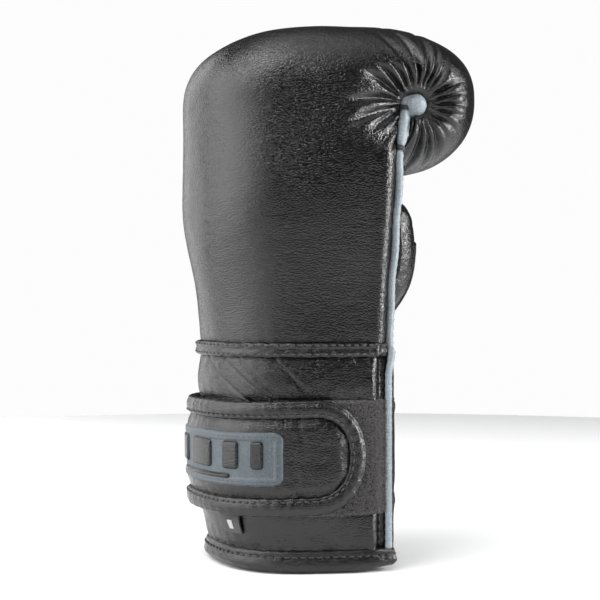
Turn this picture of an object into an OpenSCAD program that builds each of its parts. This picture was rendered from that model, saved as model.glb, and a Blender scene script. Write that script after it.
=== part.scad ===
// Boxing glove for the right hand, standing on its cuff with the fingers up.
// X runs from the back of the hand (-) to the palm (+), Y from the little finger (-) to the thumb (+).

/* [Hand] */
// Height of the knuckle crown above the cuff rim
glove_h = 264; // [261:1:268]
// Half width across the knuckles
hand_half_w = 62; // [58:1:64]
// Thickness of the hand, from the palm panel to the back
hand_depth = 81; // [78:1:82]
// How far the finger roll stands in front of the palm
front_reach = 57; // [55:1:58]
// Thickness of the padding over the back of the hand
pad_t = 24; // [18:1:26]

/* [Cuff] */
// Half width of the cuff at the palm edges
cuff_half_w = 52; // [50:1:54]
// Depth of the cuff, from the palm edges to the back
cuff_depth = 73; // [71:1:74]
// Height of the seam where the cuff meets the hand
cuff_h = 105; // [103:1:106]
// Thickness of the cuff padding
cuff_pad_t = 9; // [7:0.5:10]
// Width of the slit on the palm side
slit_w = 14; // [10:1:18]

/* [Strap] */
// Width of the wrist strap, measured up the cuff
strap_h = 53; // [48:1:56]
// Height of the strap's lower edge above the rim
strap_z = 28.5; // [27:0.5:30]
// Thickness of the padded strap
strap_t = 5; // [4.5:0.25:5.5]
// Width of the binding along the strap's edges
binding_w = 8; // [7:0.5:9]

/* [Thumb] */
// Radius of the thumb at its thickest
thumb_r = 17; // [15:0.5:18]

/* [Hidden] */

black = [0.10, 0.10, 0.11];
blue_grey = [0.55, 0.64, 0.69];
foam_colour = [0.80, 0.78, 0.72];
fabric_colour = [0.22, 0.23, 0.25];

gap = 0.3;           // air between pieces of different bodies
skin = 1.6;          // leather thickness
squareness = 2.5;    // superellipse exponent of the sections
$fn = 48;

badge_t = 0.6;       // how far the badge stands out of the strap
loop_t = 1.4;
strap_in = loop_t + gap;             // inner face of the strap above the cuff leather
strap_out = strap_in + strap_t;
palm_x = (cuff_depth + strap_out + badge_t - front_reach) / 2;   // X of the palm panel's face

// ---- general helpers ------------------------------------------------------

function spow(v, e) = sign(v) * pow(abs(v), e);
function smooth(t) = let (c = min(1, max(0, t))) c * c * (3 - 2 * c);
function mix(a, b, t) = a + (b - a) * t;
function reverse(list) = [for (i = [len(list) - 1 : -1 : 0]) list[i]];
function flat(lists) = [for (l = lists) for (p = l) p];

// A solid through a row of closed outlines with equally many points, with a cap at each end.
// An outline that runs out along one line and back along another has its caps closed in strips.
module skinned(rings, there_and_back = false) {
    count = len(rings);
    n = len(rings[0]);
    sides = [for (i = [0 : count - 2]) for (j = [0 : n - 1]) let (k = (j + 1) % n)
        each [[i * n + j, (i + 1) * n + j, (i + 1) * n + k], [i * n + j, (i + 1) * n + k, i * n + k]]];
    last = (count - 1) * n;
    caps = there_and_back
        ? [for (j = [0 : n / 2 - 2])
            each [[j, j + 1, n - 2 - j, n - 1 - j], [last + n - 1 - j, last + n - 2 - j, last + j + 1, last + j]]]
        : [[for (j = [0 : n - 1]) j], [for (j = [n - 1 : -1 : 0]) last + j]];
    polyhedron(flat(rings), concat(sides, caps), convexity = 6);
}

// A round tube along a list of points, with rings kept square to the path.
module tube(path, r, sides = 8) {
    last = len(path) - 1;
    skinned([for (i = [0 : last])
        let (dir = path[min(i + 1, last)] - path[max(i - 1, 0)],
            t = dir / norm(dir),
            u0 = cross(t, [0, 1, 0]),
            u = u0 / norm(u0),
            v = cross(t, u))
        [for (j = [0 : sides - 1]) path[i] + r * (cos(360 * j / sides) * u + sin(360 * j / sides) * v)]]);
}

// ---- the hand: sections from the cuff seam over the knuckles to the end of the roll ----

roll_x = palm_x + 11;                 // the grip bar's axis, where the roll's ends are gathered
roll_z = glove_h - 39;
crown_x = palm_x + (front_reach - hand_depth) / 2;
crown_r = (front_reach + hand_depth) / 2;
roll_foot = 35;                       // from the grip bar down to the roll's underside
bar_r = 7.2;
bar_half_w = 46;
hand_z0 = cuff_h;                     // where the hand starts
bend_z = roll_z - 34;                 // where the palm edge starts to lean towards the grip bar
eye_r = bar_r + 0.5;                  // the hole the gathered leather leaves round the bar's end

function hand_w(z) = mix(cuff_half_w, hand_half_w, smooth((z - hand_z0) / 95));
function hand_d(z) = mix(cuff_depth, hand_depth, smooth((z - hand_z0) / 75));
function lean(z) = smooth((z - bend_z) / (roll_z - bend_z));

// One section: [outer profile point, gather point, widest half width, half width at the edge,
// share of the section that is drawn in at the edge, radius left open at the edge, padding]
function hand_section(z) = [[palm_x - hand_d(z), z], [mix(palm_x, roll_x, lean(z)), z], hand_w(z),
    mix(hand_w(z) - 4, bar_half_w, lean(z)), mix(0.16, 0.5, lean(z)), mix(0.01, eye_r, lean(z)), pad_t];
function crown_section(a) = [[crown_x + crown_r * spow(cos(a), 0.77), roll_z + 39 * spow(sin(a), 0.77)],
    [roll_x, roll_z], hand_half_w, bar_half_w, 0.5, eye_r, mix(17, pad_t, smooth(-cos(a)))];
function roll_section(a) = [[palm_x + front_reach - 42 + 42 * spow(cos(a), 0.9),
    roll_z + roll_foot * spow(sin(a), 0.9)],
    [roll_x, roll_z], hand_half_w - 3 * smooth(-a / 90), bar_half_w, 0.5, eye_r, 17];
function roll_end_section(x) = [[x, roll_z - roll_foot], [roll_x, roll_z],
    hand_half_w - 3, bar_half_w, 0.5, eye_r, 17];

roll_end_x = palm_x + 5;
sections = concat(
    [for (z = [hand_z0 : 20 : bend_z - 6]) hand_section(z)],
    [for (i = [0 : 4]) hand_section(mix(bend_z, roll_z - 2, i / 4))],
    [for (a = [166 : -14 : 12]) crown_section(a)],
    [for (a = [0 : -15 : -75]) roll_section(a)],
    [roll_section(-90), roll_end_section(roll_end_x)]);

// The half outline of a section at a depth under its surface: depth at the back, side at the flanks.
function section_line(s, depth, side, open, count) =
    let (arm = s[0] - s[1], r = norm(arm), rest = open + s[5],
        v0 = asin(pow(min(1, rest / (r - depth)), squareness / 2)))
    [for (i = [0 : count - 1])
        let (v = mix(v0, 180 - v0, i / (count - 1)),
            f = (1 - depth / r) * spow(sin(v), 2 / squareness),
            draw = max(0, 1 - side / 40) * pow(max(0, 1 - f / s[4]), 2),
            y = -(s[2] - side) * spow(cos(v), 2 / squareness) + sign(cos(v)) * (s[2] - s[3]) * draw,
            p = s[1] + arm * f)
        [p[0], y, p[1]]];

function layer_ring(s, outer, inner, open, count) = concat(
    section_line(s, inner[0], inner[1], open, count),
    reverse(section_line(s, outer[0], outer[1], open, count)));

flank = 0.62;   // the flanks' padding as a share of the back's

module hand_layer(from, to, extra_from, extra_to, open, count) {
    skinned([for (s = sections) layer_ring(s,
        [from * s[6] + extra_from, flank * from * s[6] + extra_from],
        [to * s[6] + extra_to, flank * to * s[6] + extra_to], open, count)], true);
}

module back_leather() { color(black) hand_layer(0, 0, 0, skin, 0, 29); }
module outer_foam() { color(foam_colour) hand_layer(0, 0.45, skin + 0.9, 0, 3.4, 23); }
module inner_foam() { color(foam_colour * 0.8) hand_layer(0.45, 0.92, 0.3, 0, 3.6, 19); }
module hand_lining() { color(fabric_colour) hand_layer(0.92, 0.92, 0.3, 1.3, 3.6, 17); }

// The panel that closes the roll where it meets the palm.
module roll_end_panel() {
    last = sections[len(sections) - 1];
    arm = last[0] - last[1];
    across = [arm[1], -arm[0]] / norm(arm);
    line = section_line(last, 0, 0, 1.5, 21);
    color(black) skinned([for (d = [0.2, 0.2 + skin]) [for (p = line)
        [p[0] - across[0] * -d, p[1] * 0.985, p[2] + across[1] * d]]]);
}

// ---- palm -----------------------------------------------------------------

palm_top = roll_z - 8;
palm_levels = [for (i = [0 : 9]) mix(hand_z0 + 1, palm_top, i / 9)];
function palm_edge(z) = mix(hand_w(z) - 6, bar_half_w - 3, lean(z));
function palm_face(z) = palm_x + 5.2 * lean(z);
thumb_hole = [36.5, 120];   // Y and Z of the hole through which the thumb enters

module palm_sheet(front, back) {
    difference() {
        skinned([for (z = palm_levels) let (e = palm_edge(z), x = palm_face(z))
            [[x - front, -e, z], [x - front, e, z], [x - back, e, z], [x - back, -e, z]]]);
        translate([palm_x, thumb_hole[0], thumb_hole[1]]) rotate([0, 90, 0])
            cylinder(r = 9.6, h = 30, center = true, $fn = 24);
    }
}
module palm_leather() { color(blue_grey) palm_sheet(0, skin); }
module palm_lining() { color(fabric_colour) palm_sheet(skin + 0.2, skin + 1.2); }

module grip_bar_core() {
    color(foam_colour) translate([roll_x, 0, roll_z]) rotate([90, 0, 0])
        cylinder(r = bar_r - 1.4, h = 2 * bar_half_w - 6, center = true);
}
module grip_bar_cover() {
    r = bar_r - 1.2;
    color(blue_grey) translate([roll_x, 0, roll_z]) rotate([90, 0, 0]) difference() {
        union() {
            cylinder(r = bar_r, h = 2 * bar_half_w, center = true);
            for (side = [-1, 1]) translate([0, 0, side * (bar_half_w - 3)]) sphere(r = bar_r);
        }
        cylinder(r = r, h = 2 * bar_half_w - 5.6, center = true);
    }
}

piping_r = 2.1;
function piping_point(z, side) = let (e = section_line(hand_section(z), 0, 0, 0, 3)[0])
    [e[0] + 1.7, side * (piping_r + 0.3 - e[1]), z];
function piping_path(side) = concat(
    [for (i = [0 : 6]) piping_point(mix(hand_z0 + 1, bend_z, i / 6), side)],
    [for (i = [1 : 6]) piping_point(mix(bend_z, roll_z - 1, i / 6), side)]);
module little_finger_piping() { color(blue_grey) tube(piping_path(-1), piping_r); }
module thumb_side_piping() { color(blue_grey) tube(piping_path(1), piping_r); }

// Thread whippings over the piping, each a small collar.
module piping_tacks() {
    color("black") for (side = [-1, 1], z = [bend_z + 9, roll_z - 5])
        translate(piping_point(z, side)) rotate([side * 12, 6, 0])
            difference() {
                cylinder(r = piping_r + 0.7, h = 1, center = true, $fn = 24);
                cylinder(r = piping_r + 0.3, h = 2, center = true, $fn = 24);
            }
}

// ---- cuff -----------------------------------------------------------------

palm_bulge = 6;

// A point of the cuff's outline: 0 is the little finger edge, 90 the back, 180 the thumb edge, 270 the palm.
function cuff_point(a, out) = [
    palm_x - (sin(a) >= 0 ? cuff_depth + out : palm_bulge + out) * spow(sin(a), 2 / squareness),
    -(cuff_half_w + out) * spow(cos(a), 2 / squareness)];
function cuff_band(from, to, inner, outer, step = 4) =
    let (n = ceil(abs(to - from) / step), at = [for (i = [0 : n]) mix(from, to, i / n)])
    concat([for (a = at) cuff_point(a, outer)], [for (a = reverse(at)) cuff_point(a, inner)]);
module cuff_wall(from, to, inner, outer, z0, z1, step = 4) {
    translate([0, 0, z0]) linear_extrude(z1 - z0) polygon(cuff_band(from, to, inner, outer, step));
}
// The angle on the palm side at which the outline is y away from the middle.
function palm_angle(y) = 270 + sign(-y) * asin(pow(abs(y) / cuff_half_w, squareness / 2));

rim_h = 11;
slit_a = palm_angle(-slit_w / 2) - 270;

module cuff_leather() { color(black) cuff_wall(1, 179, -skin, 0, rim_h + 0.2, cuff_h - 0.4); }
module cuff_foam() {
    color(foam_colour) cuff_wall(12, 168, -skin - 0.2 - cuff_pad_t, -skin - 0.2, rim_h + 2, cuff_h - 1);
}
module cuff_lining() {
    color(fabric_colour)
        cuff_wall(12, 168, -skin - 1.4 - cuff_pad_t, -skin - 0.4 - cuff_pad_t, rim_h + 2, cuff_h - 1);
}
module cuff_seam_band() { color(black) cuff_wall(2, 178, 0.4, 2, cuff_h - 3, cuff_h + 3.5); }
module cuff_rim_binding() {
    color(black) cuff_wall(-90 + slit_a, 270 - slit_a, -7, 1.3, 0, rim_h, 3);
}
module cuff_palm_half(side) {
    a = palm_angle(side * -slit_w / 2);
    edge = side < 0 ? 181.5 : 358.5;
    color(black) cuff_wall(a, edge, -2.8, 0, rim_h + 0.2, cuff_h - 0.4);
}
module cuff_palm_little_side() { cuff_palm_half(1); }
module cuff_palm_thumb_side() { cuff_palm_half(-1); }
module slit_edge_tapes() {
    for (side = [-1, 1]) {
        y = slit_w / 2 - 0.2;
        a0 = palm_angle(side * y);
        a1 = palm_angle(side * (y - 2));
        color(blue_grey) cuff_wall(a0, a1, -3, 0.4, rim_h + 0.2, cuff_h - 0.4);
    }
}
module slit_elastic() {
    color(fabric_colour) cuff_wall(palm_angle(16), palm_angle(-16), -4.4, -3.2, rim_h + 0.2, cuff_h - 2);
}
module loop_field() {
    color([0.16, 0.16, 0.17]) cuff_wall(3, 45, 0.1, loop_t, strap_z - 1, strap_z + strap_h);
}

// ---- strap: four stiff lengths joined by creases ---------------------------

crease_root = 318;                   // angles of the creases round the cuff
crease_palm = 202;
crease_side = 134;
crease_back = 38;
crease_gap = 0.35;                   // half the air at a crease, in degrees
mid_z = strap_z + strap_h / 2;

module strap_slab(from, to, inner, outer, z0, z1) {
    cuff_wall(from - crease_gap, to + crease_gap, inner, outer, z0, z1);
}
module strap_bindings(from, to) {
    for (z = [strap_z, strap_z + strap_h - binding_w])
        color(black) strap_slab(from, to, strap_in, strap_out, z, z + binding_w);
}
module strap_middle(from, to, inner, outer) {
    strap_slab(from, to, inner, outer, strap_z + binding_w + 0.1, strap_z + strap_h - binding_w - 0.1);
}

module strap_root_tab() {
    color(black) cuff_wall(330, crease_root + 0.35, 0.15, strap_out - 2.2, strap_z, strap_z + strap_h);
}
module strap_palm_cover() { color(black) strap_middle(crease_root, crease_palm, strap_in, strap_out - 0.8); }
module strap_palm_binding() { strap_bindings(crease_root, crease_palm); }
module strap_side_cover() { color(black) strap_middle(crease_palm, crease_side, strap_in, strap_out - 0.8); }
module strap_side_binding() { strap_bindings(crease_palm, crease_side); }
module strap_back_cover() {
    color(black) strap_middle(crease_side, crease_back, strap_out - 2.2, strap_out - 0.8);
}
module strap_back_foam() {
    color(foam_colour) strap_middle(crease_side, crease_back, strap_in, strap_out - 2.4);
}
module strap_back_binding() { strap_bindings(crease_side, crease_back); }

badge_h = 26;
module strap_badge() {
    color(blue_grey) cuff_wall(127, 47, strap_out - 0.7, strap_out + badge_t,
        mid_z - badge_h / 2, mid_z + badge_h / 2);
}

tip_end_x = palm_x - 15;             // how far round the strap's tip reaches

// The outline of the strap's tip seen from the little finger side.
module tip_outline(inset) {
    h = strap_h / 2 - inset;
    r = min(h, 24 - inset);
    translate([0, mid_z]) {
        translate([-90, -h]) square([90 + tip_end_x - 24, 2 * h]);
        translate([tip_end_x - 24, 0]) intersection() {
            circle(r = h, $fn = 64);
            translate([-h, -h]) square([h + 24 - inset, 2 * h]);
        }
    }
}
module tip_slab(inner, outer, inset) {
    intersection() {
        cuff_wall(crease_back - crease_gap, 8, inner, outer, 0, cuff_h);
        rotate([90, 0, 0]) linear_extrude(90) tip_outline(inset);
    }
}
module strap_tip_cover() { color(black) tip_slab(strap_out - 2.2, strap_out - 0.8, binding_w + 0.1); }
module strap_tip_foam() { color(foam_colour) tip_slab(strap_in + 1.2, strap_out - 2.4, binding_w + 0.1); }
module strap_tip_binding() {
    color(black) difference() {
        tip_slab(strap_in, strap_out, 0);
        rotate([90, 0, 0]) linear_extrude(90) tip_outline(binding_w);
    }
}
module strap_hook_tape() { color([0.12, 0.12, 0.13]) tip_slab(strap_in, strap_in + 1, binding_w + 0.1); }

// The woven size tag hangs from under the strap at the back.
tag_w = 13;
tag_a = 75;
tag_h = 13;
tag_t = 0.8;
module size_tag() {
    place = cuff_point(tag_a, 0.6);
    color([0.08, 0.08, 0.08]) translate([place[0], place[1], strap_z - 0.4 - tag_h]) rotate([0, 0, 13])
        translate([-tag_t, -tag_w / 2, 0]) cube([tag_t, tag_w, tag_h]);
}

// ---- thumb ----------------------------------------------------------------

thumb_path = [[palm_x + 12, 37, 120], [palm_x + 22, 36.5, 124], [palm_x + 31, 34, 131.5],
    [palm_x + 37, 30, 143], [palm_x + 38, 26, 157], [palm_x + 37, 23, 169]];
thumb_scale = [0.80, 0.94, 1, 1, 0.96, 0.86];

function path_at(t) = let (n = len(thumb_path) - 1, i = min(n - 1, floor(t * n)), u = t * n - i,
        a = thumb_path[max(0, i - 1)], b = thumb_path[i], c = thumb_path[i + 1],
        d = thumb_path[min(n, i + 2)])
    0.5 * (2 * b + (c - a) * u + (2 * a - 5 * b + 4 * c - d) * u * u + (3 * b - a - 3 * c + d) * u * u * u);
function scale_at(t) = let (n = len(thumb_scale) - 1, i = min(n - 1, floor(t * n)))
    mix(thumb_scale[i], thumb_scale[i + 1], t * n - i);

// A ring round the thumb's axis, as far out as r; lift moves it along the axis for the domed end.
function thumb_ring(t, r, lift, sides = 18) =
    let (dir = path_at(min(1, t + 0.02)) - path_at(max(0, t - 0.02)),
        w = dir / norm(dir),
        u0 = cross([0, 1, 0], w),
        u = u0 / norm(u0),
        v = cross(w, u))
    [for (j = [0 : sides - 1])
        path_at(t) + lift * w + r * (0.92 * cos(360 * j / sides) * u + 1.04 * sin(360 * j / sides) * v)];
function thumb_rings(inset) = concat(
    [for (i = [0 : 8]) thumb_ring(i / 8, thumb_r * scale_at(i / 8) - inset, i == 0 ? inset : 0)],
    [for (a = [20 : 17 : 88]) thumb_ring(1, (thumb_r * 0.86 - inset) * cos(a), (thumb_r * 0.86 - inset) * sin(a))]);

module thumb_body(inset) { skinned(thumb_rings(inset)); }
// A bore along the thumb, open at its base.
function thumb_core(r) = concat([thumb_ring(0, r, -4)], [for (i = [0 : 8]) thumb_ring(i / 8, r, 0)],
    [thumb_ring(1, r * 0.6, 5)]);

module thumb_leather() {
    color(black) difference() {
        thumb_body(0);
        thumb_body(skin);
        skinned(thumb_core(9.6));
    }
}
module thumb_foam() {
    color(foam_colour) difference() {
        thumb_body(skin + 0.2);
        skinned(thumb_core(9.6));
    }
}
module thumb_lining() {
    color(fabric_colour) difference() {
        skinned(concat([for (i = [0 : 8]) thumb_ring(i / 8, 9.4, i == 0 ? 0.4 : 0)],
            [thumb_ring(1, 9.4 * 0.6, 4.8)]));
        skinned(concat([thumb_ring(0, 8.6, -3)], [for (i = [0 : 8]) thumb_ring(i / 8, 8.6, 0)],
            [thumb_ring(1, 8.6 * 0.6, 4)]));
    }
}
module thumb_grip_tab() {
    color(black) difference() {
        intersection() {
            thumb_body(-1.4);
            translate([palm_x + 42, 22, 132]) cube([20, 12, 34]);
        }
        thumb_body(-0.15);
    }
}

// The sleeve of leather that joins the thumb's root to the palm.
module thumb_root_gusset() {
    color(black) translate([palm_x + 0.3, thumb_hole[0], thumb_hole[1]]) rotate([0, 90, 0]) difference() {
        union() {
            cylinder(r1 = 13, r2 = 11.4, h = 2.2);
            cylinder(r = 10.8, h = 5.2);
        }
        cylinder(r = 9.4, h = 20, center = true);
    }
}

// ---- what is drawn ----------------------------------------------------------

back_leather();
outer_foam();
inner_foam();
hand_lining();
roll_end_panel();
palm_leather();
palm_lining();
grip_bar_core();
grip_bar_cover();
little_finger_piping();
thumb_side_piping();
piping_tacks();
cuff_leather();
cuff_foam();
cuff_lining();
cuff_seam_band();
cuff_rim_binding();
cuff_palm_little_side();
cuff_palm_thumb_side();
slit_edge_tapes();
slit_elastic();
loop_field();
strap_root_tab();
strap_palm_cover();
strap_palm_binding();
strap_side_cover();
strap_side_binding();
strap_back_cover();
strap_back_foam();
strap_back_binding();
strap_badge();
strap_tip_cover();
strap_tip_foam();
strap_tip_binding();
strap_hook_tape();
size_tag();
thumb_leather();
thumb_foam();
thumb_lining();
thumb_grip_tab();
thumb_root_gusset();
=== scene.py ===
import math
import bpy
import numpy as np
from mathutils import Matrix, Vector


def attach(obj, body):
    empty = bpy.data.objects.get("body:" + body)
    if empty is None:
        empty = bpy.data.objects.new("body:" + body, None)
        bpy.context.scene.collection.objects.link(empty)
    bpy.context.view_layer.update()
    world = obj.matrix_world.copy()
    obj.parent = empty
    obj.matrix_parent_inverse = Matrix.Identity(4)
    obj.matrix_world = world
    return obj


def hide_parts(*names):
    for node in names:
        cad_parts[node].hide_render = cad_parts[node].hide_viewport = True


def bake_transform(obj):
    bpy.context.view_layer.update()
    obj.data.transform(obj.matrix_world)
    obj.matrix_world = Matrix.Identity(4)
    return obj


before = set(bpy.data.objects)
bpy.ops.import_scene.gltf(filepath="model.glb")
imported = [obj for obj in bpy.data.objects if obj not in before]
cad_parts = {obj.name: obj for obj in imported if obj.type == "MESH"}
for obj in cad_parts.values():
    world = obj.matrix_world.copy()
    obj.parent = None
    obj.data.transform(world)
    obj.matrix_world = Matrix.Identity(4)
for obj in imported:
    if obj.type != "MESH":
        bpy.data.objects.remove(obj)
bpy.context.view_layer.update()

MM = 0.001
HI = 1.0            # mesh density
CAMERA_AZ = -25.0                           # degrees from the little finger side towards the back
CAMERA_DIST = 0.68
CAMERA_LENS = 80.5
FLOOR_R = 850.0
TUFTS = 7000                                # small loops in the pile


# ---- maths
def spow(v, e):
    return np.sign(v) * np.abs(v) ** e


def smooth(t):
    t = np.clip(t, 0, 1)
    return t * t * (3 - 2 * t)


def mix(a, b, t):
    return a + (b - a) * t


def bump(x, centre, width):
    return np.exp(-(((x - centre) / width) ** 2))


def lattice(ix, iy, iz, seed):
    h = np.sin(ix * 127.1 + iy * 311.7 + iz * 74.7 + seed * 53.3) * 43758.5453
    return h - np.floor(h)


# turns the noise off the axes
TILT = np.array([[0.85, 0.45, -0.27], [-0.40, 0.89, 0.22], [0.34, -0.08, 0.94]])


def noise(p, size, seed=0):
    """Smooth noise between -1 and 1 at points p, with cells of that size in mm (one number or three)."""
    q = np.asarray(p) @ TILT / np.asarray(size)
    i = np.floor(q)
    f = q - i
    f = f * f * (3 - 2 * f)
    out = 0
    for dx in (0, 1):
        for dy in (0, 1):
            for dz in (0, 1):
                w = ((f[..., 0] if dx else 1 - f[..., 0]) * (f[..., 1] if dy else 1 - f[..., 1])
                    * (f[..., 2] if dz else 1 - f[..., 2]))
                out = out + w * lattice(i[..., 0] + dx, i[..., 1] + dy, i[..., 2] + dz, seed)
    return out * 2 - 1


def grid_normals(P):
    du = np.gradient(P, axis=0)
    dv = np.gradient(P, axis=1)
    n = np.cross(du, dv)
    return n / np.maximum(np.linalg.norm(n, axis=-1, keepdims=True), 1e-9)


def even(line, count, *others):
    """Resamples a polyline, and values along it, at equal steps."""
    d = np.r_[0, np.cumsum(np.linalg.norm(np.diff(line, axis=0), axis=1))]
    t = np.linspace(0, d[-1], count)
    out = np.stack([np.interp(t, d, line[:, k]) for k in range(line.shape[1])], 1)
    return (out, *[np.interp(t, d, o) for o in others]) if others else out


# ---- meshes
def build(name, verts, faces, mat):
    me = bpy.data.meshes.new(name)
    me.from_pydata((np.asarray(verts, float).reshape(-1, 3) * MM).tolist(), [], faces)
    me.update()
    me.polygons.foreach_set("use_smooth", np.ones(len(me.polygons), bool))
    ob = bpy.data.objects.new(name, me)
    bpy.context.collection.objects.link(ob)
    me.materials.append(mat)
    return ob


def place(piece, slot, body, *nodes, fill=None):
    """A piece's finish (not used), its body, the frame's nodes it stands for and, if it is padded, how full
    it is (not used).
    """
    if nodes:
        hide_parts(*nodes)
    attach(piece, body)


def grid_faces(n, m, close=False, base=0):
    i = np.arange(n - 1)[:, None]
    j = np.arange(m if close else m - 1)[None, :]
    k = (j + 1) % m
    f = np.stack([i * m + j, i * m + k, (i + 1) * m + k, (i + 1) * m + j], -1).reshape(-1, 4) + base
    return f.tolist()


def loft(name, rings, mat, caps="fan"):
    """A closed solid through rings (n, m, 3). caps is fan, strip for there-and-back outlines, or loop."""
    rings = np.asarray(rings, float)
    n, m, _ = rings.shape
    if caps == "loop":
        faces = grid_faces(n, m, True)
        faces += [[(n - 1) * m + j, (n - 1) * m + (j + 1) % m, (j + 1) % m, j] for j in range(m)]
    else:
        faces = grid_faces(n, m, True)
        last = (n - 1) * m
        if caps == "strip":
            h = m // 2
            faces += [[j + 1, j, m - 1 - j, m - 2 - j] for j in range(h - 1)]
            faces += [[last + j, last + j + 1, last + m - 2 - j, last + m - 1 - j] for j in range(h - 1)]
        else:
            faces += [list(range(m))[::-1], list(range(last, last + m))]
    ob = build(name, rings, faces, mat)
    return ob


def slab(name, top, under, mat):
    """A closed solid between two grids of the same size: an outer skin and what lies under it."""
    n, m, _ = top.shape
    rings = np.concatenate([top, under[:, ::-1]], 1)
    return loft(name, rings, mat, "strip")


def sweep(name, path, cut, mat, up=(0, 0, 1), closed=False):
    """Sweeps a closed outline, cut(0..1), along a path; up is roughly the outline's second axis."""
    path = np.asarray(path, float)
    t = np.gradient(path, axis=0)
    t /= np.linalg.norm(t, axis=1, keepdims=True)
    up = np.broadcast_to(np.asarray(up, float), path.shape)
    side = np.cross(up, t)
    side /= np.linalg.norm(side, axis=1, keepdims=True)
    top = np.cross(t, side)
    rings = []
    for i, u in enumerate(np.linspace(0, 1, len(path))):
        c = cut(u)
        rings.append(path[i] + c[:, :1] * side[i] + c[:, 1:] * top[i])
    return loft(name, rings, mat, "loop" if closed else "fan")


def outline(a, b, power=2.0, k=20):
    th = np.linspace(0, 2 * np.pi, k, endpoint=False)
    return np.stack([a * spow(np.cos(th), 2 / power), b * spow(np.sin(th), 2 / power)], 1)


def stitches(name, path, out, mat, length=2.3, gap=1.2, r=0.36):
    """Thread stitches along a path, each a small lozenge on the surface; out is the normal at each point."""
    d = np.r_[0, np.cumsum(np.linalg.norm(np.diff(path, axis=0), axis=1))]
    count = max(1, int(d[-1] // (length + gap)))
    verts, faces = [], []
    ring = np.linspace(0, 2 * np.pi, 6, endpoint=False)
    shape = [(-0.5, 0.25), (-0.36, 0.85), (0.0, 1.0), (0.36, 0.85), (0.5, 0.25)]
    for k in range(count):
        s0 = (k + 0.5) * d[-1] / count
        at = lambda s: np.array([np.interp(s, d, path[:, c]) for c in range(3)])
        p, q = at(s0 - length / 2), at(s0 + length / 2)
        t = (q - p) / max(np.linalg.norm(q - p), 1e-9)
        o = np.array([np.interp(s0, d, out[:, c]) for c in range(3)])
        o = o - t * (o @ t)
        o /= np.linalg.norm(o)
        w = np.cross(t, o)
        base = len(verts)
        for u, rr in shape:
            for a in ring:
                verts.append((p + q) / 2 + t * length * u
                    + (w * math.cos(a) + o * 0.8 * math.sin(a)) * r * rr)
        faces += grid_faces(5, 6, True, base)
        faces += [[base + j for j in range(6)][::-1], [base + 24 + j for j in range(6)]]
    return build(name, verts, faces, mat)


def thread_row(name, path, out, body, *size):
    """A row of black stitches on a body; size is a stitch's length, the gap and its radius."""
    place(stitches(name, path, out, THREAD, *size), "thread", body)


def settle(P, pin, grow=0.03, pressure=4.0, cap=2.0, frames=20, bend=1.2):
    """Runs a coarse grid as cloth, held where pin is 1. Gives back each point's move, capped and smoothed."""
    n, m, _ = P.shape
    ob = build("cloth_run", P, grid_faces(n, m), bpy.data.materials[0] if bpy.data.materials
        else bpy.data.materials.new("run"))
    group = ob.vertex_groups.new(name="pin")
    for i, w in enumerate(np.asarray(pin, float).reshape(-1)):
        if w > 0:
            group.add([i], float(w), "REPLACE")
    cl = ob.modifiers.new("cloth", "CLOTH")
    st = cl.settings
    st.quality = 5
    st.mass = 0.3
    st.tension_stiffness = st.compression_stiffness = 25
    st.shear_stiffness = 8
    st.bending_stiffness = bend
    st.vertex_group_mass = "pin"
    st.shrink_min = st.shrink_max = -grow
    st.use_pressure = True
    st.uniform_pressure_force = pressure
    st.effector_weights.gravity = 0
    cl.collision_settings.use_collision = False
    cl.point_cache.frame_start = 1
    cl.point_cache.frame_end = frames
    for f in range(1, frames + 1):
        bpy.context.scene.frame_set(f)
    ev = ob.evaluated_get(bpy.context.evaluated_depsgraph_get())
    co = np.zeros(n * m * 3, np.float32)
    ev.data.vertices.foreach_get("co", co)
    bpy.context.scene.frame_set(1)
    delta = co.reshape(n, m, 3) / MM - P
    bpy.data.objects.remove(ob)
    size = np.linalg.norm(delta, axis=-1, keepdims=True)
    return soften(soften(delta * np.minimum(1, cap / np.maximum(size, 1e-6)), 5), 3)


def soften(D, width):
    """A moving average over that many grid steps, both ways."""
    kernel = np.ones(width) / width
    for axis_ in (0, 1):
        D = np.apply_along_axis(lambda v: np.convolve(np.pad(v, width // 2, "edge"), kernel, "valid"),
            axis_, D)
    return D


def finer(D, n, m):
    """A coarse grid's values on a finer one."""
    a, b, c = D.shape
    x = np.linspace(0, a - 1, n)
    y = np.linspace(0, b - 1, m)

    def weights(t, size):
        i = np.clip(np.floor(t).astype(int), 0, size - 2)
        return i, (t - i)[:, None]
    i, u = weights(x, a)
    D1 = D[i] * (1 - u[..., None]) + D[i + 1] * u[..., None]
    j, v = weights(y, b)
    out = D1[:, j] * (1 - v) + D1[:, j + 1] * v
    return soften(soften(out, 2 * (n // a) + 1), 2 * (n // a) + 1)


# ---- materials
def nodes_of(name):
    mat = bpy.data.materials.new(name)
    mat.use_nodes = True
    nt = mat.node_tree
    nt.nodes.clear()
    out = nt.nodes.new("ShaderNodeOutputMaterial")
    bs = nt.nodes.new("ShaderNodeBsdfPrincipled")
    nt.links.new(bs.outputs[0], out.inputs[0])
    co = nt.nodes.new("ShaderNodeTexCoord")
    return mat, nt, bs, co.outputs["Object"]


def add(nt, kind, **settings):
    n = nt.nodes.new("ShaderNode" + kind)
    for k, v in settings.items():
        if k in n.inputs:
            n.inputs[k].default_value = v
        else:
            setattr(n, k, v)
    return n


def math_node(nt, op, a, b):
    n = nt.nodes.new("ShaderNodeMath")
    n.operation = op
    for i, v in enumerate((a, b)):
        if isinstance(v, (int, float)):
            n.inputs[i].default_value = v
        else:
            nt.links.new(v, n.inputs[i])
    return n.outputs[0]


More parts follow.
